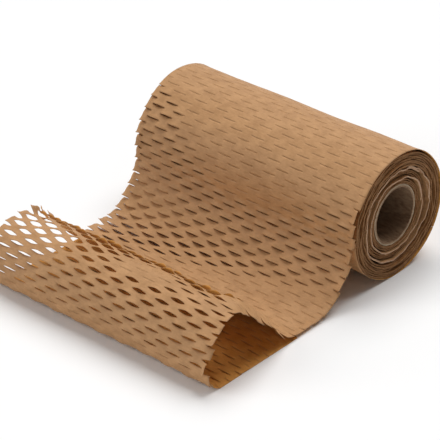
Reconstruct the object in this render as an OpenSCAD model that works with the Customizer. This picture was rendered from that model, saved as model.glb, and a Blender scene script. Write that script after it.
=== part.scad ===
// Roll of slit kraft packing paper on a cardboard core tube, with its first length pulled off over the front.
// The slits run along the roll and open to six-sided cells where the sheet is bent and stretched.
// X runs along the roll's axis, the pulled-out sheet lies towards -Y, and Z is up.
// The origin is on the floor, at the middle of the flat spot that the roll rests on.
// Lengths are in millimetres and angles in degrees.

/* [Roll] */
// Width of the paper web, which is the length of the roll
web_w = 200; // [120:1:400]
// Diameter over the outermost turn
roll_d = 94; // [80:1:130]
// Width of the flat spot under the roll's weight
flat_w = 16; // [6:1:24]
// Distance from one wound turn to the next where their edges show at the ends
turn_pitch = 3.6; // [2.8:0.1:5]
// Air between two turns at the ends
turn_gap = 1.1; // [0.4:0.1:1.4]
// How far the furthest turn edges stand out of the tightly packed middle
turn_relief = 3; // [1:0.5:8]

/* [Core tube] */
// Bore of the cardboard tube
core_bore_d = 40; // [25:1:50]
// Wall of the cardboard tube
core_wall = 2.2; // [1:0.1:4]
// How far the tube ends sit inside the roll's ends
core_recess = 3; // [0:0.5:10]
// Clearance between the tube and the innermost turn
core_gap = 0.1; // [0.05:0.05:0.5]

/* [Pulled-out sheet] */
// Thickness of the stretched sheet over its tilted strips
sheet_t = 0.8; // [0.5:0.1:1.5]
// Length that lies on the floor between the roll and the hump
floor_run = 10; // [5:1:60]
// Radius of the bend where the sheet turns up from the floor
valley_r = 14; // [6:1:30]
// Height of the hump
hump_h = 48; // [44:1:70]
// Slope of the hump's back
rise_angle = 41; // [25:1:60]
// Radius at the back of the hump's crest
crest_r = 15; // [8:1:25]
// Radius at the front of the hump's crest
front_r = 27; // [15:1:30]
// Radius of the bend where the hump's front turns under
low_r = 13; // [6:1:16]
// From the edge of the free end, tucked under the hump, to the bend where the sheet leaves the floor
tuck_gap = 13; // [9:1:40]

/* [Slits] */
// Length of a slit
slit_len = 12.8; // [8:0.1:16]
// Distance between slits in a row
slit_pitch = 20; // [18:0.5:30]
// Distance between rows of slits
row_step = 4.85; // [4:0.05:8]
// Width of the open cells at the crest of the hump
cell_open = 2.4; // [1:0.1:3]
// Rows of open cells over the hump's crest and front
open_rows = 11; // [4:1:11]
// Width of a closed slit's line
line_w = 0.5; // [0.3:0.1:1]
// Depth of a closed slit's line
line_depth = 0.4; // [0.2:0.05:0.5]
// Away from the front of the roll and of the hump, one row of closed slits in so many is drawn
row_skip = 5; // [3:2:9]

/* [Hidden] */
$fn = 36;

roll_r = roll_d / 2;
half_w = web_w / 2;
turn_wall = turn_pitch - turn_gap;
// The wound turns are a spiral of half circles: upper ones about the axis, lower ones half a pitch behind it
low_shift = turn_pitch / 2;
low_roll_r = roll_r - low_shift;
axis_z = sqrt(low_roll_r * low_roll_r - flat_w * flat_w / 4);
core_r = core_bore_d / 2 + core_wall;
wound_r = core_r + core_gap;
turn_count = floor((roll_r - wound_r - turn_wall) / turn_pitch);
// Every turn's edge stands out at least this share of turn_relief, and the rest goes in waves from turn to turn
edge_ratio = 0.4;
edge_phase = 70;

// The sheet's middle line starts at the front of the roll, heading down, and its height over the floor runs from
// half_t to crest_h. Each stretch is its length and how far it turns to the left, so an arc's length is its radius
// times its turn.
half_t = sheet_t / 2;
fall_r = axis_z - half_t;
crest_h = hump_h - sheet_t;
rise_run = (crest_h - (valley_r + crest_r) * (1 - cos(rise_angle))) / sin(rise_angle);
front_drop = crest_h - front_r - low_r;
hump_foot = (valley_r + crest_r) * sin(rise_angle) + rise_run * cos(rise_angle) + front_r - low_r;
tuck_run = hump_foot - tuck_gap;
start = [-(roll_r - half_t), axis_z, 270];
fall = [arc_len(fall_r, 90), -90];
floor_flat = [floor_run, 0];
valley = [arc_len(valley_r, rise_angle), -rise_angle];
rise = [rise_run, 0];
crest = [arc_len(crest_r, rise_angle), rise_angle];
front = [arc_len(front_r, 90), 90];
drop = [front_drop, 0];
low = [arc_len(low_r, 90), 90];
tuck = [tuck_run, 0];
stretches = [fall, floor_flat, valley, rise, crest, front, drop, low, tuck];
sheet_len = length_before(len(stretches));

// Rows are numbered along the web from the front of the roll, and the open ones start where the crest does
fall_row = floor(length_before(1) / row_step);
first_open = ceil(length_before(4) / row_step);
last_open = first_open + open_rows - 1;
last_row = floor(length_before(8) / row_step);
// Share of their width that the cells lose from the first open row to the last
closing_ratio = 0.5;
columns = ceil(half_w / slit_pitch) + 1;
// A slit that would leave less paper than this beside the web's edge is cut through it
edge_paper = 0.5;
// Cutters reach this far past the faces that they cut, and the sheet's root this far into the roll
past = 1;
// Half width of a closed slit's V-shaped cutter where it ends, past over the face
line_top = line_w / 2 * (1 + past / line_depth);

function arc_len(r, angle) = r * angle * PI / 180;
function length_before(n) = n == 0 ? 0 : stretches[n - 1][0] + length_before(n - 1);

// Place and heading [y, z, angle] at a length s into a stretch that starts at p
function in_stretch(p, st, s) =
    st[1] == 0
        ? [p[0] + s * cos(p[2]), p[1] + s * sin(p[2]), p[2]]
        : let (r = st[0] / (st[1] * PI / 180), to = p[2] + st[1] * s / st[0])
            [p[0] + r * (sin(to) - sin(p[2])), p[1] - r * (cos(to) - cos(p[2])), to];

// Place and heading at a length s along the sheet
function on_sheet(s, p = start, n = 0) =
    n == len(stretches) - 1 || s <= stretches[n][0]
        ? in_stretch(p, stretches[n], s)
        : on_sheet(s - stretches[n][0], in_stretch(p, stretches[n], stretches[n][0]), n + 1);

// Point on one face of the sheet: side is 1 for the outer face and -1 for the inner one
function on_face(s, side) =
    let (p = on_sheet(s))
        [p[0] + side * half_t * sin(p[2]), p[1] - side * half_t * cos(p[2])];

function slit_x(row, i) = (i + (row % 2 == 0 ? 0.5 : 0)) * slit_pitch;
// How far a turn's edge stands out of the packed middle
function edge_rise(n) = turn_relief * (edge_ratio + (1 - edge_ratio) * abs(cos(edge_phase * n)));
// Width of the cells in an open row
function open_w(row) = cell_open * (1 - closing_ratio * (row - first_open) / open_rows);

// Lays out what is drawn with Y to the right, Z up and its depth along X
module along_x() {
    rotate([90, 0, 90]) children();
}

// Half of a round disc or ring, over or under its centre
module half_ring(outer, inner, len, under) {
    rotate([0, 0, under ? 180 : 0])
        rotate_extrude(angle = 180)
            translate([inner, 0])
                square([outer - inner, len]);
}

module packed_middle() {
    len = web_w - 2 * turn_relief;
    along_x() translate([0, axis_z, -len / 2])
        difference() {
            union() {
                half_ring(roll_r, 0, len, false);
                translate([low_shift, 0, 0]) half_ring(low_roll_r, 0, len, true);
            }
            translate([0, 0, -past]) cylinder(r = wound_r, h = len + 2 * past);
        }
}

// Edges of the wound turns at one end of the roll
module turn_edges() {
    along_x() translate([0, axis_z, half_w - turn_relief]) {
        for (k = [0 : turn_count]) {
            outer = roll_r - k * turn_pitch;
            half_ring(outer, outer - turn_wall, edge_rise(2 * k), false);
        }
        for (k = [0 : turn_count - 1]) {
            outer = roll_r - k * turn_pitch - low_shift;
            translate([low_shift, 0, 0])
                half_ring(outer, outer - turn_wall, edge_rise(2 * k + 1), true);
        }
    }
}

// Six-sided outline of one slit, its length along X
module cell(open) {
    polygon([
        [-slit_len / 2, 0], [-slit_len / 4, -open / 2], [slit_len / 4, -open / 2],
        [slit_len / 2, 0], [slit_len / 4, open / 2], [-slit_len / 4, open / 2]
    ]);
}

// Cutters for one row of open cells, standing through a sheet whose outer face is at z = 0
module row_of_cells(row) {
    for (i = [-columns : columns])
        if (abs(slit_x(row, i)) - slit_len / 2 < half_w - edge_paper)
            translate([slit_x(row, i), 0, -sheet_t - past])
                linear_extrude(height = sheet_t + 2 * past) cell(open_w(row));
}

// Cutters for one row of closed slits, sunk into the outer face at z = 0
module row_of_lines(row) {
    for (i = [-columns : columns])
        if (abs(slit_x(row, i)) - slit_len / 2 < half_w - edge_paper)
            translate([slit_x(row, i) - slit_len / 2, 0, 0])
                along_x() linear_extrude(height = slit_len)
                    polygon([[0, -line_depth], [line_top, past], [-line_top, past]]);
}

// Side outline of the sheet, with one flat under each row of slits and one between two rows
module sheet_outline() {
    flat_len = row_step / 2;
    stations = [0, each [flat_len / 2 : flat_len : sheet_len - flat_len / 4], sheet_len];
    last = len(stations) - 1;
    root = on_face(0, -1) + [0, past];
    polygon([
        for (i = [0 : last]) on_face(stations[i], 1),
        for (i = [0 : last]) on_face(stations[last - i], -1),
        root
    ]);
}

// Sets a row's cutter on the sheet's outer face
module at_row(row) {
    p = on_sheet(row * row_step);
    translate([0, p[0], p[1]]) rotate([p[2] - 180, 0, 0]) translate([0, 0, half_t]) children();
}

module sheet() {
    difference() {
        along_x() translate([0, 0, -half_w]) linear_extrude(height = web_w) sheet_outline();
        for (row = [1 : last_row])
            if (row >= first_open && row <= last_open)
                at_row(row) row_of_cells(row);
            else if (row <= fall_row || row > last_open || row % row_skip == 0)
                at_row(row) row_of_lines(row);
    }
}

// Closed slits on the outermost turn, from the front of the roll back over its top
module turn_slits() {
    for (row = [row_skip : row_skip : arc_len(roll_r, 180) / row_step])
        translate([0, 0, axis_z])
            rotate([90 - row * row_step / roll_r * 180 / PI, 0, 0])
                translate([0, 0, roll_r]) row_of_lines(row);
}

module core_tube() {
    len = web_w - 2 * core_recess;
    color([0.55, 0.47, 0.39])
        along_x() translate([0, axis_z, -len / 2])
            difference() {
                cylinder(r = core_r, h = len);
                translate([0, 0, -past]) cylinder(r = core_bore_d / 2, h = len + 2 * past);
            }
}

module slit_paper() {
    color([0.70, 0.53, 0.37])
        difference() {
            union() {
                packed_middle();
                turn_edges();
                mirror([1, 0, 0]) turn_edges();
                sheet();
            }
            turn_slits();
            translate([-half_w - past, -flat_w, -flat_w]) cube([web_w + 2 * past, 2 * flat_w, flat_w]);
        }
}

core_tube();
slit_paper();
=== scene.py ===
import math

import bpy
import numpy as np
from mathutils import Euler, Matrix, Vector


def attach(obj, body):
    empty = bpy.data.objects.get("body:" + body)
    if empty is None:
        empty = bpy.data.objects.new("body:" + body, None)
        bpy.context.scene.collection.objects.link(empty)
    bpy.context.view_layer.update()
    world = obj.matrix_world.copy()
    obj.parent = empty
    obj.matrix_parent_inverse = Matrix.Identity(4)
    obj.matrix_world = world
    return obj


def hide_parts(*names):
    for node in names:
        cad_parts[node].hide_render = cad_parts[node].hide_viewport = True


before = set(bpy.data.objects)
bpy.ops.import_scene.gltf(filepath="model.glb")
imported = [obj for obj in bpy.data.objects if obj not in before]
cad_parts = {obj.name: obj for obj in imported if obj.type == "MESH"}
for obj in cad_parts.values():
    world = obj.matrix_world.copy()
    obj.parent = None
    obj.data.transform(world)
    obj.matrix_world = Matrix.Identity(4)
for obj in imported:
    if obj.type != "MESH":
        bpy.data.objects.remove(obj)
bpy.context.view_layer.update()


# CAMERA, FLOOR AND LIGHT
# A long lens looks down on the roll from its right front, over a white floor. One broad lamp hangs over and
# behind the roll, a weaker one stands at its left front, and the white room fills the shadows.

lens_mm = 193.2
sensor_mm = 36
camera_place = (0.9354, -1.1025, 0.8541)
camera_azimuth = 42.16
camera_elevation = 30.43
camera_roll = 0.956

camera_data = bpy.data.cameras.new("camera")
camera_data.sensor_width = sensor_mm
camera_data.lens = lens_mm
camera = bpy.data.objects.new("camera", camera_data)
look = Euler((math.radians(90 - camera_elevation), 0, math.radians(camera_azimuth))).to_matrix().to_4x4()
lean = Matrix.Rotation(math.radians(-camera_roll), 4, "Z")
camera.matrix_world = Matrix.Translation(camera_place) @ look @ lean
bpy.context.scene.collection.objects.link(camera)
bpy.context.scene.camera = camera
bpy.context.scene.view_settings.view_transform = "Standard"

floor_size = 8
floor_white = (0.95, 0.95, 0.95, 1)

half_floor = floor_size / 2
floor_mesh = bpy.data.meshes.new("floor")
floor_corners = [(x * half_floor, y * half_floor, 0) for x, y in ((-1, -1), (1, -1), (1, 1), (-1, 1))]
floor_mesh.from_pydata(floor_corners, [], [(0, 1, 2, 3)])
floor = bpy.data.objects.new("floor", floor_mesh)
bpy.context.scene.collection.objects.link(floor)
floor_paint = bpy.data.materials.new("floor_paint")
floor_paint.use_nodes = True
floor_bsdf = floor_paint.node_tree.nodes["Principled BSDF"]
floor_bsdf.inputs["Base Color"].default_value = floor_white
floor_bsdf.inputs["Roughness"].default_value = 1
floor_bsdf.inputs["Specular IOR Level"].default_value = 0
floor_mesh.materials.append(floor_paint)

room_fill = 0.15

world = bpy.data.worlds.new("room")
world.use_nodes = True
room = world.node_tree.nodes["Background"]
room.inputs["Color"].default_value = (1, 1, 1, 1)
# The room is plain white to the camera and in gloss, and lights the object only this much
ray = world.node_tree.nodes.new("ShaderNodeLightPath")
seen = world.node_tree.nodes.new("ShaderNodeMath")
seen.operation = "MAXIMUM"
seen_or_fill = world.node_tree.nodes.new("ShaderNodeMath")
seen_or_fill.operation = "MAXIMUM"
seen_or_fill.inputs[1].default_value = room_fill
world.node_tree.links.new(ray.outputs["Is Camera Ray"], seen.inputs[0])
world.node_tree.links.new(ray.outputs["Is Glossy Ray"], seen.inputs[1])
world.node_tree.links.new(seen.outputs[0], seen_or_fill.inputs[0])
world.node_tree.links.new(seen_or_fill.outputs[0], room.inputs["Strength"])
bpy.context.scene.world = world

# Lamps: name, where the light comes from, strength, and the angle that it is spread over
lamps = (("back_lamp", (-0.08, 0.42, 1), 2.5, 50), ("front_lamp", (-0.6, -0.8, 0.6), 1.1, 40))
for name, comes_from, strength, spread in lamps:
    lamp_data = bpy.data.lights.new(name, "SUN")
    lamp_data.energy = strength
    lamp_data.angle = math.radians(spread)
    lamp = bpy.data.objects.new(name, lamp_data)
    lamp.rotation_euler = (-Vector(comes_from)).to_track_quat("-Z", "Y").to_euler()
    bpy.context.scene.collection.objects.link(lamp)


# SLIT WEB
# One long web of brown kraft paper. A die cuts it in staggered rows of short slits that run across it, so
# that it can be pulled open into lens-shaped cells. This is the roll's outermost turn and the length that
# is pulled off over the roll's front.

web_w = 0.2
slit_len = 0.0128
slit_pitch = 0.020
row_step = 0.00485
hairline = 0.00005
repeat_len = 2 * row_step
repeats_across = round(web_w / slit_pitch)
# Places of the mesh's columns, from a slit's middle to the middle of the paper beside it
column_places = (0, 0.18, 0.36, 0.5, 0.64, 0.82, 1)
# Places of its rows, from one lip of a strip to the other, and the share of the lip's movement that each
# row makes
strip_places = ((0, 1), (0.24, 0.42), (0.76, -0.42), (1, -1))
# Power of an open slit's lens outline, and the share of its half length where it counts as ended
lens_power = 1.5
lens_end = 0.999

half_slit = slit_len / 2
half_pitch = slit_pitch / 2
columns = sorted({side * half_pitch * t for t in column_places for side in (-1, 1)})


def lens(x, centre):
    """Share of a slit's full opening at x, for a slit centred at centre."""
    t = abs(x - centre) / half_slit
    return 1 - t ** lens_power if t < lens_end else 0


def die_repeat():
    """The die's repeat: two strips of paper between three rows of slits. Each lip stands a hairline back."""
    verts, lips, faces = [], [], []
    sides = (-half_pitch, half_pitch)
    for strip, (top_slits, bottom_slits) in enumerate((((0,), sides), (sides, (0,)))):
        for place, share in strip_places:
            for x in columns:
                lip = share * max(lens(x, c) for c in (top_slits if share > 0 else bottom_slits))
                at_lip = lip != 0 and abs(share) == 1
                parted = math.copysign(hairline, lip) if at_lip else 0
                verts.append((x, (strip + place) * row_step + parted, 0))
                lips.append(lip)
        first = strip * len(strip_places) * len(columns)
        for step in range(len(strip_places) - 1):
            for i in range(len(columns) - 1):
                a = first + step * len(columns) + i
                faces.append((a, a + len(columns), a + len(columns) + 1, a + 1))
    mesh = bpy.data.meshes.new("die_repeat")
    mesh.from_pydata(verts, [], faces)
    mesh.attributes.new("lip", "FLOAT", "POINT").data.foreach_set("value", lips)
    return bpy.data.objects.new("die_repeat", mesh)


def die_cut_tree():
    """Sets the die's repeat side by side and row after row, and joins the copies where paper bridges them."""
    tree = bpy.data.node_groups.new("die_cut_web", "GeometryNodeTree")
    face = tree.interface
    face.new_socket("Repeat", in_out="INPUT", socket_type="NodeSocketObject")
    for name, kind in (("Across", "NodeSocketInt"), ("Along", "NodeSocketInt"),
                       ("Repeat width", "NodeSocketFloat"), ("Repeat length", "NodeSocketFloat"),
                       ("Join distance", "NodeSocketFloat")):
        face.new_socket(name, in_out="INPUT", socket_type=kind)
    face.new_socket("Material", in_out="INPUT", socket_type="NodeSocketMaterial")
    face.new_socket("Web", in_out="OUTPUT", socket_type="NodeSocketGeometry")
    nodes, links = tree.nodes, tree.links
    given = nodes.new("NodeGroupInput").outputs
    grid = nodes.new("GeometryNodeMeshGrid")
    links.new(given["Across"], grid.inputs["Vertices X"])
    links.new(given["Along"], grid.inputs["Vertices Y"])
    for count, step, size in (("Across", "Repeat width", "Size X"), ("Along", "Repeat length", "Size Y")):
        gaps = nodes.new("ShaderNodeMath")
        gaps.operation = "SUBTRACT"
        gaps.inputs[1].default_value = 1
        span = nodes.new("ShaderNodeMath")
        span.operation = "MULTIPLY"
        links.new(given[count], gaps.inputs[0])
        links.new(gaps.outputs[0], span.inputs[0])
        links.new(given[step], span.inputs[1])
        links.new(span.outputs[0], grid.inputs[size])
    one = nodes.new("GeometryNodeObjectInfo")
    links.new(given["Repeat"], one.inputs["Object"])
    place = nodes.new("GeometryNodeInstanceOnPoints")
    links.new(grid.outputs["Mesh"], place.inputs["Points"])
    links.new(one.outputs["Geometry"], place.inputs["Instance"])
    real = nodes.new("GeometryNodeRealizeInstances")
    links.new(place.outputs[0], real.inputs[0])
    join = nodes.new("GeometryNodeMergeByDistance")
    links.new(real.outputs[0], join.inputs["Geometry"])
    links.new(given["Join distance"], join.inputs["Distance"])
    paint = nodes.new("GeometryNodeSetMaterial")
    links.new(join.outputs[0], paint.inputs["Geometry"])
    links.new(given["Material"], paint.inputs["Material"])
    links.new(paint.outputs[0], nodes.new("NodeGroupOutput").inputs["Web"])
    return tree


def evaluated_copy(name, tree, values):
    """Plain mesh object of what a Geometry Nodes tree makes with these named values."""
    host = bpy.data.objects.new(name + "_host", bpy.data.meshes.new(name + "_host"))
    bpy.context.scene.collection.objects.link(host)
    made = host.modifiers.new(name, "NODES")
    made.node_group = tree
    for item in tree.interface.items_tree:
        if item.in_out == "INPUT" and item.name in values:
            made[item.identifier] = values[item.name]
    mesh = bpy.data.meshes.new_from_object(host.evaluated_get(bpy.context.evaluated_depsgraph_get()))
    host.modifiers.remove(made)
    bpy.data.objects.remove(host)
    mesh.name = name
    piece = bpy.data.objects.new(name, mesh)
    bpy.context.scene.collection.objects.link(piece)
    return piece


# Detail of the pulp's blotches and fibres, how the fibres are drawn out along x, the middle part of the noise
# that is spread over the two colours, and the gloss and bump
blotch_detail = 3
fibre_detail = 2
fibre_stretch = (0.35, 1, 1)
noise_low = 0.36
noise_high = 0.64
pulp_gloss = 0.3
bump_strength = 0.35
bump_height = 0.0003


def fibre_group():
    """Blotches and fibres of unbleached pulp: two colours mixed in patches, and the height of the fibres."""
    tree = bpy.data.node_groups.new("pulp_fibres", "ShaderNodeTree")
    face = tree.interface
    for name in ("Dark", "Light"):
        face.new_socket(name, in_out="INPUT", socket_type="NodeSocketColor")
    for name in ("Blotch scale", "Fibre scale", "Fibre share"):
        face.new_socket(name, in_out="INPUT", socket_type="NodeSocketFloat")
    face.new_socket("Color", in_out="OUTPUT", socket_type="NodeSocketColor")
    face.new_socket("Height", in_out="OUTPUT", socket_type="NodeSocketFloat")
    nodes, links = tree.nodes, tree.links
    given = nodes.new("NodeGroupInput").outputs
    result = nodes.new("NodeGroupOutput").inputs
    place = nodes.new("ShaderNodeTexCoord").outputs["Object"]
    blotch = nodes.new("ShaderNodeTexNoise")
    blotch.inputs["Detail"].default_value = blotch_detail
    links.new(place, blotch.inputs["Vector"])
    links.new(given["Blotch scale"], blotch.inputs["Scale"])
    stretch = nodes.new("ShaderNodeVectorMath")
    stretch.operation = "MULTIPLY"
    stretch.inputs[1].default_value = fibre_stretch
    links.new(place, stretch.inputs[0])
    fibre = nodes.new("ShaderNodeTexNoise")
    fibre.inputs["Detail"].default_value = fibre_detail
    links.new(stretch.outputs[0], fibre.inputs["Vector"])
    links.new(given["Fibre scale"], fibre.inputs["Scale"])
    both = nodes.new("ShaderNodeMix")
    links.new(given["Fibre share"], both.inputs["Factor"])
    links.new(blotch.outputs[0], both.inputs["A"])
    links.new(fibre.outputs[0], both.inputs["B"])
    spread = nodes.new("ShaderNodeMapRange")
    spread.inputs["From Min"].default_value = noise_low
    spread.inputs["From Max"].default_value = noise_high
    links.new(both.outputs["Result"], spread.inputs["Value"])
    tint = nodes.new("ShaderNodeMix")
    tint.data_type = "RGBA"
    links.new(spread.outputs["Result"], tint.inputs["Factor"])
    links.new(given["Dark"], tint.inputs["A"])
    links.new(given["Light"], tint.inputs["B"])
    links.new(tint.outputs["Result"], result["Color"])
    links.new(fibre.outputs[0], result["Height"])
    return tree


def pulp_material(name, dark, light, blotch_scale, fibre_scale, fibre_share, roughness):
    """Dull paper or board, with the shared fibre pattern in its colour and its bump."""
    material = bpy.data.materials.new(name)
    material.use_nodes = True
    nodes, links = material.node_tree.nodes, material.node_tree.links
    bsdf = nodes["Principled BSDF"]
    bsdf.inputs["Roughness"].default_value = roughness
    bsdf.inputs["Specular IOR Level"].default_value = pulp_gloss
    pulp = nodes.new("ShaderNodeGroup")
    pulp.node_tree = fibres
    pulp.inputs["Dark"].default_value = dark
    pulp.inputs["Light"].default_value = light
    pulp.inputs["Blotch scale"].default_value = blotch_scale
    pulp.inputs["Fibre scale"].default_value = fibre_scale
    pulp.inputs["Fibre share"].default_value = fibre_share
    links.new(pulp.outputs["Color"], bsdf.inputs["Base Color"])
    bump = nodes.new("ShaderNodeBump")
    bump.inputs["Strength"].default_value = bump_strength
    bump.inputs["Distance"].default_value = bump_height
    links.new(pulp.outputs["Height"], bump.inputs["Height"])
    links.new(bump.outputs[0], bsdf.inputs["Normal"])
    return material


fibres = fibre_group()
kraft_pulp = {"blotch_scale": 110, "fibre_scale": 900, "fibre_share": 0.4}
kraft = pulp_material(
    "kraft_paper", dark=(0.40, 0.210, 0.088, 1), light=(0.52, 0.285, 0.128, 1), roughness=0.6, **kraft_pulp)
# The paper's inner face is a brighter, more saturated orange than its outer face: painted bounce light,
# standing in for light passed between the paper's faces and shining through the paper.
kraft_inner_painted_bounce = pulp_material(
    "kraft_inner_painted_bounce", dark=(0.56, 0.25, 0.05, 1), light=(0.68, 0.33, 0.08, 1), roughness=0.8, **kraft_pulp)

roll_r = 0.0477
axis_z = 0.0452
turn_pitch = 0.0012
low_squash = 0.955
paper_t = 0.0003
wound_len = 0.300
# Places on the path of the sheet, from the roll's front to the tucked edge: y and z in millimetres, at the
# web's left edge, its middle and its right edge
places = (
    ((-47.7, 45.2), (-47.7, 45.2), (-47.7, 45.2)),
    ((-49.4, 36), (-49.4, 36), (-49.4, 36)),
    ((-52.5, 27), (-52.5, 27), (-52.5, 27)),
    ((-57.5, 20), (-57.5, 20), (-57.5, 20)),
    ((-64, 13.5), (-64, 13.5), (-64, 13)),
    ((-72.5, 8), (-72.5, 8), (-72.5, 7)),
    ((-83, 5), (-83, 4.2), (-83, 2.8)),
    ((-94, 5), (-94, 3), (-94, 1.6)),
    ((-105, 4.2), (-104, 3), (-105, 1.4)),
    ((-114.5, 6.5), (-113, 6.5), (-115.5, 4.2)),
    ((-123, 14), (-122.5, 16.5), (-125.5, 14)),
    ((-132, 25.5), (-133, 28), (-136.5, 24)),
    ((-141.5, 34.5), (-144.5, 39), (-148, 34.5)),
    ((-151, 41), (-155.5, 46.5), (-158, 44)),
    ((-163, 43.5), (-166, 50), (-166.5, 47)),
    ((-175, 43.5), (-176.5, 48), (-174.5, 45.3)),
    ((-184.5, 39.5), (-184.5, 42), (-181.5, 39.5)),
    ((-190.5, 32), (-190.5, 33.5), (-187.5, 33.5)),
    ((-193.5, 23.5), (-193.5, 24.5), (-192, 25.5)),
    ((-194, 14), (-194, 15), (-194.3, 16.5)),
    ((-191, 5.5), (-191, 6), (-192, 7)),
    ((-183, 1), (-183, 1), (-184.5, 1.1)),
    ((-173, 0.8), (-173, 0.8), (-174, 0.8)),
    ((-150, 0.8), (-150, 0.8), (-150, 0.8)),
    ((-98, 0.3), (-98.8, 0.3), (-106, 0.3)),
)


def smooth_path():
    """Cubic through the places for each of the three lines, as knots, points and slopes in metres."""
    points = np.array(places) / 1000
    steps = np.linalg.norm(np.diff(points[:, 1], axis=0), axis=1)
    knots = np.concatenate([[0], np.cumsum(steps)])
    slopes = np.empty_like(points)
    before, after = steps[:-1, None, None], steps[1:, None, None]
    back = (points[1:-1] - points[:-2]) / before
    ahead = (points[2:] - points[1:-1]) / after
    slopes[1:-1] = (back * after + ahead * before) / (before + after)
    # The sheet leaves the roll straight down, and its tucked edge lies flat
    slopes[0] = (0, -1)
    slopes[-1] = (1, 0)
    return knots, points, slopes


knots, points, slopes = smooth_path()
sheet_len = knots[-1]
# The left edge's line is blended in slowly, and the right one's close to that edge, which droops
left_power = 2
right_power = 6


def on_path(x, s):
    """Middle of the paper at x across the web and s along it, where s is 0 as the sheet leaves the roll."""
    side = x / (web_w / 2)
    left = np.clip(-side, 0, None) ** left_power
    right = np.clip(side, 0, None) ** right_power
    weights = np.stack([left, 1 - left - right, right], axis=1)
    cell = np.clip(np.searchsorted(knots, s) - 1, 0, len(knots) - 2)
    width = knots[cell + 1] - knots[cell]
    t = ((s - knots[cell]) / width)[:, None, None]
    width = width[:, None, None]
    lines = (
        (1 + 2 * t) * (1 - t) ** 2 * points[cell] + t * (1 - t) ** 2 * width * slopes[cell]
        + t * t * (3 - 2 * t) * points[cell + 1] + t * t * (t - 1) * width * slopes[cell + 1]
    )
    sheet = (lines * weights[:, :, None]).sum(axis=1)
    turned = -s / roll_r
    radius = roll_r - turn_pitch * turned / math.tau
    up = radius * np.sin(turned)
    up = np.where(up < 0, up * low_squash, up)
    wound = np.stack([-radius * np.cos(turned), np.maximum(axis_z + up, paper_t)], axis=1)
    yz = np.where((s < 0)[:, None], wound, sheet)
    return np.column_stack([x, yz])


# How many waves make up the noise, and the range of their frequency about that of the bumps asked for
wave_count = 6
wave_stretch = (0.7, 1.5)


def wave(x, s, size, seed):
    """Smooth made-up noise over the web, about -1 to 1, with bumps of about this size."""
    total = np.zeros_like(x)
    draw = np.random.default_rng(seed)
    for _ in range(wave_count):
        heading = draw.uniform(0, math.tau)
        stretch = draw.uniform(*wave_stretch) * math.tau / (2 * size)
        total += np.sin((x * math.cos(heading) + s * math.sin(heading)) * stretch + draw.uniform(0, math.tau))
    return total / (wave_count / 2)


def fade(s, start, end):
    """0 before start, 1 after end, smooth between."""
    t = np.clip((s - start) / (end - start), 0, 1)
    return t * t * (3 - 2 * t)


def between(value, start, end, soft):
    """1 between start and end, 0 outside them, with soft borders."""
    return fade(value, start - soft, start) * (1 - fade(value, end, end + soft))


# From here on x is the place across the web from its middle, and s the one along it from the roll's front,
# in metres: the valley's floor is near 0.075, the hump's crest near 0.158 and its foot near 0.220


def closed_patch(x, s):
    """1 on the smooth patch of the hump, where the slits have stayed shut."""
    return between(x, 0.006, 0.040, 0.008) * between(s, 0.152, 0.166, 0.003)


# Where the gaping slits start: places across the web, and the place along it at each of them
gill_x = (-0.095, -0.072, -0.060, -0.044, -0.027, -0.007, 0.016, 0.053, 0.091)
gill_start = (-0.048, -0.039, -0.020, -0.012, -0.003, 0.006, 0.007, -0.004, -0.019)


def on_fall(x, s):
    """1 where the sheet is pulled taut as it leaves the roll, and its slits gape like gills."""
    start = np.interp(x, gill_x, gill_start)
    return fade(s, start - 0.012, start + 0.010) * (1 - fade(s + 0.25 * x, 0.044, 0.064))


def smooth_strip(x, s):
    """1 on the hump's back beside the right edge, where the sheet curls over with its slits shut."""
    return fade(x, 0.074, 0.086) * between(s, 0.100, 0.148, 0.008)


# Gap and height of a slit's lips where nothing opens it, and where the crest starts and ends
least_gap = 0.00002
least_height = 0.00006
crest_span = (0.157, 0.163)


def left_part(x):
    """1 in the web's left part, where the hump's cells are pulled widest, and 0 right of its middle."""
    return 1 - fade(x, -0.030, 0.004)


def on_hump(s):
    """1 from the upper half of the hump's back to the tucked edge, and 0 before it."""
    return fade(s, 0.118, 0.134)


def opening(x, s):
    """Gap between a slit's lips, from hairlines on the roll to wide cells on the crest. Below 0 they lap."""
    left = left_part(x)
    # The fall gapes most where it leaves the roll, and its lips lap towards the valley, soonest at the left
    gape = 0.0004 + 0.0021 * between(s, -0.006, 0.006, 0.020) - 0.0016 * fade(s, 0.020, 0.044)
    low_left = 0.0014 * fade(-x, 0.036, 0.066) * fade(s, 0.006, 0.022)
    gap = least_gap + on_fall(x, s) * (gape - low_left)
    # On the crest the cells are widest at the left and narrow at the right
    crest = between(s, *crest_span, 0.007)
    gap += 0.0020 * on_hump(s) + crest * (0.0010 * left - 0.0013 * (1 - left))
    # Beside the left edge the slits gape from the roll down to the valley
    gap += 0.0024 * between(s, -0.010, 0.060, 0.020) * fade(-x, 0.090, 0.096)
    # They close down the hump's front, a little less low on it, and lap under the hump
    gap -= 0.0002 * fade(s, 0.172, 0.186) + 0.0008 * fade(s, 0.202, 0.214) + 0.0022 * fade(s, 0.212, 0.226)
    gap += 0.0012 * between(s, 0.203, 0.214, 0.010)
    # Right at the left edge they open less
    gap *= 1 - 0.6 * fade(-x, 0.094, 0.100)
    return gap * (1 - closed_patch(x, s)) * (1 - smooth_strip(x, s))


def tilt(x, s):
    """How far a slit's lips stand out of the sheet, the upper one to its outside, the lower to its inside."""
    left = left_part(x)
    height = least_height + (0.0015 + 0.0005 * fade(s, 0.016, 0.040)) * on_fall(x, s)
    # Behind the crest the lips stand up in a tangle, and on the right of the crest they lie flatter
    tangle = between(s, 0.137, 0.147, 0.006)
    crest = between(s, *crest_span, 0.009)
    height += 0.0010 * on_hump(s) + 0.0009 * tangle + crest * (0.0003 * left - 0.0006 * (1 - left))
    # They stand out a little more low on the hump's front, and less under it
    height += 0.0003 * between(s, 0.196, 0.210, 0.012) - 0.0005 * fade(s, 0.210, 0.228)
    return height * (1 - closed_patch(x, s)) * (1 - smooth_strip(x, s))


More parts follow.
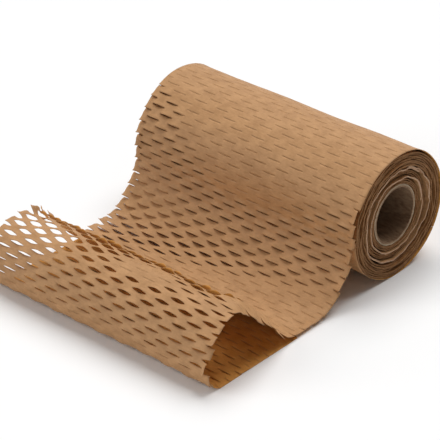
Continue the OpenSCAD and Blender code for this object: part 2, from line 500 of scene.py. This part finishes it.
def curling_edge(x, s):
    """1 beside the right edge of the hump's back, where the sheet curls up."""
    return between(x, 0.080, 0.088, 0.012) * between(s, 0.106, 0.140, 0.016)


# Numbers are drawn for so many rows, slits and tabs, and then repeat
drawn_rows = 256
drawn_slits = 32
drawn_tabs = 128


def slit_draw(x, s, seed):
    """A random number from 0 to 1 for each slit, the same for both its lips."""
    row = np.rint((s - row_phase) / row_step).astype(int)
    slit = np.rint((x - slit_shift) / slit_pitch + np.where(row % 2 == 0, 0.5, 0.0)).astype(int)
    table = np.random.default_rng(seed).random((drawn_rows, drawn_slits))
    return table[row % drawn_rows, slit % drawn_slits]


def curled(x, s):
    """The paper's edge bent out of the sheet, tab by tab: its new x, and how far it stands up."""
    tab = np.floor((s - row_phase - row_step) / repeat_len).astype(int)
    right = x > 0
    draw = np.random.default_rng(tab_seed).random((2, drawn_tabs))[right.astype(int), tab % drawn_tabs]
    loose = fall_loose * fade(s, -0.040, 0.010) + front_loose * between(s, 0.165, 0.210, 0.015)
    bend = np.radians(common_bend + loose * (draw - inward_share))
    for side, number, degrees in pulled_tabs:
        bend[(right == (side > 0)) & (tab == number)] = math.radians(degrees)
    past_edge = np.clip(np.abs(x) - edge_from, 0, None)
    bend *= past_edge / (web_w / 2 - edge_from)
    bend = np.where(np.abs(bend) < least_bend, least_bend, bend)
    shorter = past_edge * (1 - np.sin(bend) / bend)
    return x - np.sign(x) * shorter, past_edge * (1 - np.cos(bend)) / bend


def drape(piece, along_shift):
    """Bends a flat length of the web into its wound turn or its pulled-off sheet, and opens its slits."""
    mesh = piece.data
    count = len(mesh.vertices)
    flat = np.empty(count * 3)
    mesh.vertices.foreach_get("co", flat)
    flat = flat.reshape(-1, 3)
    lip = np.empty(count)
    mesh.attributes["lip"].data.foreach_get("value", lip)
    x = flat[:, 0] + slit_shift
    s = flat[:, 1] + along_shift
    uneven = common_uneven + tangle_uneven * between(s, 0.130, 0.150, 0.008)
    opened = s + lip * opening(x, s) * (1 + uneven * (slit_draw(x, s, opening_seed) - 0.5)) / 2
    # On the roll and in the valley many slits don't show at all
    slack = (on_fall(x, s) < taut_from) & (s < valley_end)
    shut = slack & (slit_draw(x, s, shut_seed) < shut_share)
    opened -= np.where(shut, np.sign(lip) * shut_lap, 0)
    opened = np.minimum(opened, sheet_len)
    x, stands = curled(x, s)
    here = on_path(x, opened)
    down = on_path(x, opened + nudge) - on_path(x, opened - nudge)
    over = on_path(x + nudge, opened) - on_path(x - nudge, opened)
    out = np.cross(down, over)
    out /= np.linalg.norm(out, axis=1)[:, None]
    lift = stands - lip * tilt(x, s) * (1 + uneven * (slit_draw(x, s, tilt_seed) - 0.5))
    lift += crinkle_height * wave(x, s, crinkle_len, crinkle_seed)
    lift += edge_curl * curling_edge(x, s)
    place = here + out * lift[:, None]
    place[:, 2] = np.maximum(place[:, 2], paper_t / 2)
    mesh.vertices.foreach_set("co", place.ravel())
    uv = mesh.uv_layers.new(name="web")
    corner = np.empty(len(mesh.loops), dtype=int)
    mesh.loops.foreach_get("vertex_index", corner)
    uv.data.foreach_set("uv", np.column_stack([x, s])[corner].ravel())
    mesh.shade_smooth()
    mesh.set_sharp_from_angle(angle=lip_crease)


opening_seed = 5
tilt_seed = 6
shut_seed = 7
crinkle_seed = 8
tab_seed = 11
lip_crease = math.radians(60)
nudge = 0.0002
crinkle_height = 0.0004
crinkle_len = 0.03
edge_curl = 0.0035
# Shares by which slits differ from one to the next, everywhere and in the tangle behind the crest
common_uneven = 0.3
tangle_uneven = 0.8
# Slits that are drawn shut: where the sheet isn't taut, how many of them, and how far each lip moves
taut_from = 0.05
valley_end = 0.100
shut_share = 0.45
shut_lap = 1.4 * hairline
# The edge's tabs bend from here out: degrees for all, spread of the draws from the fall on and on the hump's
# front, and the part of a draw that bends them less or inwards
edge_from = 0.0895
common_bend = 4
fall_loose = 24
front_loose = 30
inward_share = 0.4
# In radians, so that nothing is divided by a bend of nought
least_bend = 1e-4
# Tabs that were pulled up: side, number along the sheet, and degrees
pulled_tabs = ((-1, 12, 40), (-1, 13, 36), (-1, 14, 62), (-1, 15, 26), (-1, 16, 15), (1, -3, 30),
               (1, -2, 18), (1, 0, 24), (1, 18, 30), (1, 20, 35))

row_phase = 0.0008
slit_shift = 0.0005
repeats_wound = round(wound_len / repeat_len)
repeats_pulled = int((sheet_len - row_phase) / repeat_len)
# Lengths of the web, parted behind the roll: name, first repeat counted from the roll's front, and repeats
back_half = repeats_wound // 2
lengths = (
    ("outer_turn", -repeats_wound, repeats_wound - back_half),
    ("pulled_sheet", -back_half, back_half + repeats_pulled),
)
die = die_repeat()
bpy.context.scene.collection.objects.link(die)
die_cut = die_cut_tree()
for name, first, repeats in lengths:
    web = evaluated_copy(name, die_cut, {
        "Repeat": die, "Across": repeats_across, "Along": repeats, "Repeat width": slit_pitch,
        "Repeat length": repeat_len, "Join distance": hairline / 2, "Material": kraft,
    })
    # The grid is centred on the origin, and a row of slits lies row_phase past the roll's front
    drape(web, row_phase + (first + (repeats - 1) / 2) * repeat_len)
    # The second material, on the paper's inner face, carries the painted bounce light.
    web.data.materials.append(kraft_inner_painted_bounce)
    thick = web.modifiers.new("thickness", "SOLIDIFY")
    thick.thickness = paper_t
    thick.offset = 0
    thick.material_offset = 1
    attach(web, "root")
    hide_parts("slit_paper")
bpy.data.objects.remove(die)


# WOUND TURNS
# The rest of the kraft web, wound on the tube by machine. The outer turns lie tight, and two of those
# nearer the tube have sprung loose. At both ends the paper's cut edges stand out unevenly and are crinkled
# from handling.

turn_steps = 120
band_steps = 4
band_from = 0.084
band_to = 0.0962
off_floor = 0.0012
# A turn's crumples and fine creases: scales of their noise, how the crumples grow towards the edge, and how
# strong the creases are against them
noise_detail = 2
crumple_scale = 2.6
crumple_growth = 1.5
crease_scale = 9
crease_share = 0.35
# How its edge stands out: scale and share of the noise, and the mean
uneven_scale = 1.6
uneven_share = 0.6
mean_stand_out = 0.6
# How fast all this noise changes from turn to turn, and how many times faster where the edge stands out
turn_change = 0.55
uneven_change = 3


def wound_tree():
    """Rolls a flat grid into a spiral band whose outer edge stands out and crinkles."""
    tree = bpy.data.node_groups.new("wound_turns", "GeometryNodeTree")
    face = tree.interface
    for name in ("Turns", "Inner radius", "Outer radius", "Axis height", "Squash", "Band from", "Band to",
                 "Stand out", "Crinkle", "Seed", "Side"):
        face.new_socket(name, in_out="INPUT", socket_type="NodeSocketFloat")
    for name in ("Steps", "Band steps"):
        face.new_socket(name, in_out="INPUT", socket_type="NodeSocketInt")
    face.new_socket("Material", in_out="INPUT", socket_type="NodeSocketMaterial")
    face.new_socket("Band", in_out="OUTPUT", socket_type="NodeSocketGeometry")
    nodes, links = tree.nodes, tree.links
    given = nodes.new("NodeGroupInput").outputs

    def maths(operation, *values):
        node = nodes.new("ShaderNodeMath")
        node.operation = operation
        for socket, value in zip(node.inputs, values):
            if isinstance(value, (int, float)):
                socket.default_value = value
            else:
                links.new(value, socket)
        return node.outputs[0]

    def blend(factor, low, high):
        return maths("ADD", low, maths("MULTIPLY", factor, maths("SUBTRACT", high, low)))

    def noise(x, y, z, scale):
        spot = nodes.new("ShaderNodeCombineXYZ")
        for socket, value in zip(spot.inputs, (x, y, z)):
            links.new(value, socket)
        node = nodes.new("ShaderNodeTexNoise")
        node.inputs["Scale"].default_value = scale
        node.inputs["Detail"].default_value = noise_detail
        links.new(spot.outputs[0], node.inputs["Vector"])
        return maths("SUBTRACT", maths("MULTIPLY", node.outputs[0], 2), 1)

    grid = nodes.new("GeometryNodeMeshGrid")
    grid.inputs["Size X"].default_value = 1
    grid.inputs["Size Y"].default_value = 1
    links.new(given["Steps"], grid.inputs["Vertices X"])
    links.new(given["Band steps"], grid.inputs["Vertices Y"])
    spread = nodes.new("ShaderNodeSeparateXYZ")
    links.new(nodes.new("GeometryNodeInputPosition").outputs[0], spread.inputs[0])
    wound = maths("ADD", spread.outputs[0], 0.5)
    reach = maths("ADD", spread.outputs[1], 0.5)
    count = maths("MULTIPLY", wound, given["Turns"])
    angle = maths("MULTIPLY", count, math.tau)
    cosine, sine = maths("COSINE", angle), maths("SINE", angle)
    radius = blend(wound, given["Inner radius"], given["Outer radius"])
    turn_seed = maths("ADD", maths("MULTIPLY", count, turn_change), given["Seed"])
    crumple = maths("MULTIPLY", noise(cosine, sine, turn_seed, crumple_scale), given["Crinkle"])
    crumple = maths("MULTIPLY", crumple, maths("POWER", reach, crumple_growth))
    crease_size = maths("MULTIPLY", given["Crinkle"], crease_share)
    crease = maths("MULTIPLY", noise(cosine, sine, turn_seed, crease_scale), crease_size)
    radius = maths("ADD", radius, maths("ADD", crumple, maths("MULTIPLY", crease, reach)))
    uneven_seed = maths("MULTIPLY", turn_seed, uneven_change)
    uneven = maths("MULTIPLY", noise(cosine, sine, uneven_seed, uneven_scale), uneven_share)
    stand_out = maths("MULTIPLY", given["Stand out"], maths("ADD", uneven, mean_stand_out))
    edge = maths("ADD", given["Band to"], stand_out)
    along = maths("MULTIPLY", blend(reach, given["Band from"], edge), given["Side"])
    rise = maths("MULTIPLY", radius, sine)
    lower = maths("MULTIPLY", maths("MINIMUM", rise, 0), given["Squash"])
    height = maths("ADD", given["Axis height"], maths("ADD", maths("MAXIMUM", rise, 0), lower))
    height = maths("MAXIMUM", height, off_floor)
    place = nodes.new("ShaderNodeCombineXYZ")
    for socket, value in zip(place.inputs, (along, maths("MULTIPLY", radius, cosine), height)):
        links.new(value, socket)
    bend = nodes.new("GeometryNodeSetPosition")
    links.new(grid.outputs["Mesh"], bend.inputs["Geometry"])
    links.new(place.outputs[0], bend.inputs["Position"])
    paint = nodes.new("GeometryNodeSetMaterial")
    links.new(bend.outputs[0], paint.inputs["Geometry"])
    links.new(given["Material"], paint.inputs["Material"])
    links.new(paint.outputs[0], nodes.new("NodeGroupOutput").inputs["Band"])
    return tree


edge_pulp = {"blotch_scale": 260, "fibre_scale": 1400, "fibre_share": 0.6, "roughness": 0.9}
# The faces of the tightly wound turns, seen only in the deep gaps between them, are a much darker copy of the
# kraft: painted shade of those gaps.
wound_faces_painted_shade = pulp_material(
    "wound_faces_painted_shade", dark=(0.18, 0.075, 0.022, 1), light=(0.31, 0.14, 0.045, 1), **edge_pulp)
# The tight turns' cut edges are dark partly by the cut paper's own tone and partly by painted shade of the
# narrow gaps between the turns.
cut_edges_and_painted_shade = pulp_material(
    "cut_edges_and_painted_shade", dark=(0.17, 0.075, 0.025, 1), light=(0.32, 0.16, 0.065, 1), **edge_pulp)
loose_edges = pulp_material(
    "loose_edges", dark=(0.38, 0.22, 0.125, 1), light=(0.56, 0.37, 0.24, 1), **edge_pulp)
wound = wound_tree()
# Seeds rise by this much from band to band, and lie this far to either side of nought at the two ends
band_seed = 2.3
end_seed = 5.6
# Bands of turns: name, turns, inner and outer radius, how far they stand out and how much they crinkle,
# thickness, and the material of their faces and of their edges; the tight turns' faces and edges carry
# painted shade
bands = (
    ("inner_turns", 3, 0.0229, 0.0263, 0.0022, 0.0007, 0.0007, wound_faces_painted_shade, cut_edges_and_painted_shade),
    ("sprung_turn", 1.15, 0.0273, 0.0281, 0.0042, 0.0018, 0.0009, kraft, loose_edges),
    ("middle_turns", 3, 0.0292, 0.0327, 0.0012, 0.0007, 0.0008, wound_faces_painted_shade, cut_edges_and_painted_shade),
    ("wavy_turn", 1.2, 0.0340, 0.0348, 0.0050, 0.0026, 0.0011, kraft, loose_edges),
    ("outer_turns", 7, 0.0364, 0.0464, 0.0060, 0.0004, 0.0010, wound_faces_painted_shade, cut_edges_and_painted_shade),
)
for side, end in ((1, "right"), (-1, "left")):
    for number, (name, turns, inner, outer, stand_out, crinkle, band_t, faces, edges) in enumerate(bands):
        band = evaluated_copy(f"{name}_{end}", wound, {
            "Turns": float(turns), "Inner radius": inner, "Outer radius": outer, "Axis height": axis_z,
            "Squash": low_squash, "Band from": band_from, "Band to": band_to, "Stand out": stand_out,
            "Crinkle": crinkle, "Seed": band_seed * number + end_seed * side, "Side": float(side),
            "Steps": int(turns * turn_steps), "Band steps": band_steps + 1, "Material": faces,
        })
        thick = band.modifiers.new("thickness", "SOLIDIFY")
        thick.thickness = band_t
        thick.offset = 0
        band.data.materials.append(edges)
        thick.material_offset_rim = 1
        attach(band, "root")
        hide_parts("slit_paper")

# The roll's closed middle is a thick ring, in the tight turns' dark face colour: painted shade of the packed
# paper
ring_steps = 96
packed_in = 0.0224
packed_out = 0.0454
verts, faces = [], []
for i in range(ring_steps):
    angle = math.tau * i / ring_steps
    for side, r in ((-1, packed_in), (-1, packed_out), (1, packed_out), (1, packed_in)):
        up = r * math.sin(angle)
        up = up * low_squash if up < 0 and r == packed_out else up
        verts.append((side * band_from, r * math.cos(angle), max(axis_z + up, off_floor)))
    a, b = 4 * i, 4 * ((i + 1) % ring_steps)
    faces += [(a + k, b + k, b + (k + 1) % 4, a + (k + 1) % 4) for k in range(4)]
packed_mesh = bpy.data.meshes.new("packed_turns")
packed_mesh.from_pydata(verts, [], faces)
packed_mesh.materials.append(wound_faces_painted_shade)
packed = bpy.data.objects.new("packed_turns", packed_mesh)
bpy.context.scene.collection.objects.link(packed)
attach(packed, "root")
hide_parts("slit_paper")


# CORE TUBE
# The cardboard tube that the paper is wound on, of strips of grey-brown board wound in a spiral and glued.
# It is cut square, with a pale, slightly furry edge at each end, and the tight paper holds it.

bore_r = 0.020
board_t = 0.0022
tube_len = 0.194
tube_steps = 96
tube_rows = 12
edge_fur = 0.0002
fur_seed = 21
tube_crease = math.radians(40)

# The tube's wall is much darker than its grey-brown board: painted shade inside the bore. The cut edges keep
# their pale colour.
board_wall_painted_shade = pulp_material(
    "board_wall_painted_shade", dark=(0.15, 0.08, 0.04, 1), light=(0.30, 0.19, 0.11, 1),
    blotch_scale=90, fibre_scale=700, fibre_share=0.5, roughness=0.85)
board_edge = pulp_material(
    "board_edge", dark=(0.26, 0.18, 0.11, 1), light=(0.50, 0.38, 0.26, 1),
    blotch_scale=300, fibre_scale=1500, fibre_share=0.6, roughness=0.9)
draw = np.random.default_rng(fur_seed)
verts, faces, edges = [], [], []
half_tube = tube_len / 2
section = [(-half_tube + tube_len * k / tube_rows, bore_r) for k in range(tube_rows + 1)]
section += [(half_tube, bore_r + board_t / 2), (half_tube, bore_r + board_t), (-half_tube, bore_r + board_t),
            (-half_tube, bore_r + board_t / 2)]
for i in range(tube_steps):
    angle = math.tau * i / tube_steps
    for x, r in section:
        fur = draw.uniform(-1, 1) * edge_fur if abs(x) == half_tube else 0
        verts.append((x + fur, r * math.cos(angle), axis_z + r * math.sin(angle)))
    for k in range(len(section)):
        j = (k + 1) % len(section)
        a, b = i * len(section), (i + 1) % tube_steps * len(section)
        faces.append((a + k, a + j, b + j, b + k))
        edges.append(section[k][0] == section[j][0])
tube_mesh = bpy.data.meshes.new("board_tube")
tube_mesh.from_pydata(verts, [], faces)
tube_mesh.materials.append(board_wall_painted_shade)
tube_mesh.materials.append(board_edge)
tube_mesh.polygons.foreach_set("material_index", [int(e) for e in edges])
tube_mesh.shade_smooth()
tube_mesh.set_sharp_from_angle(angle=tube_crease)
tube = bpy.data.objects.new("board_tube", tube_mesh)
bpy.context.scene.collection.objects.link(tube)
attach(tube, "root")
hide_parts("core_tube")
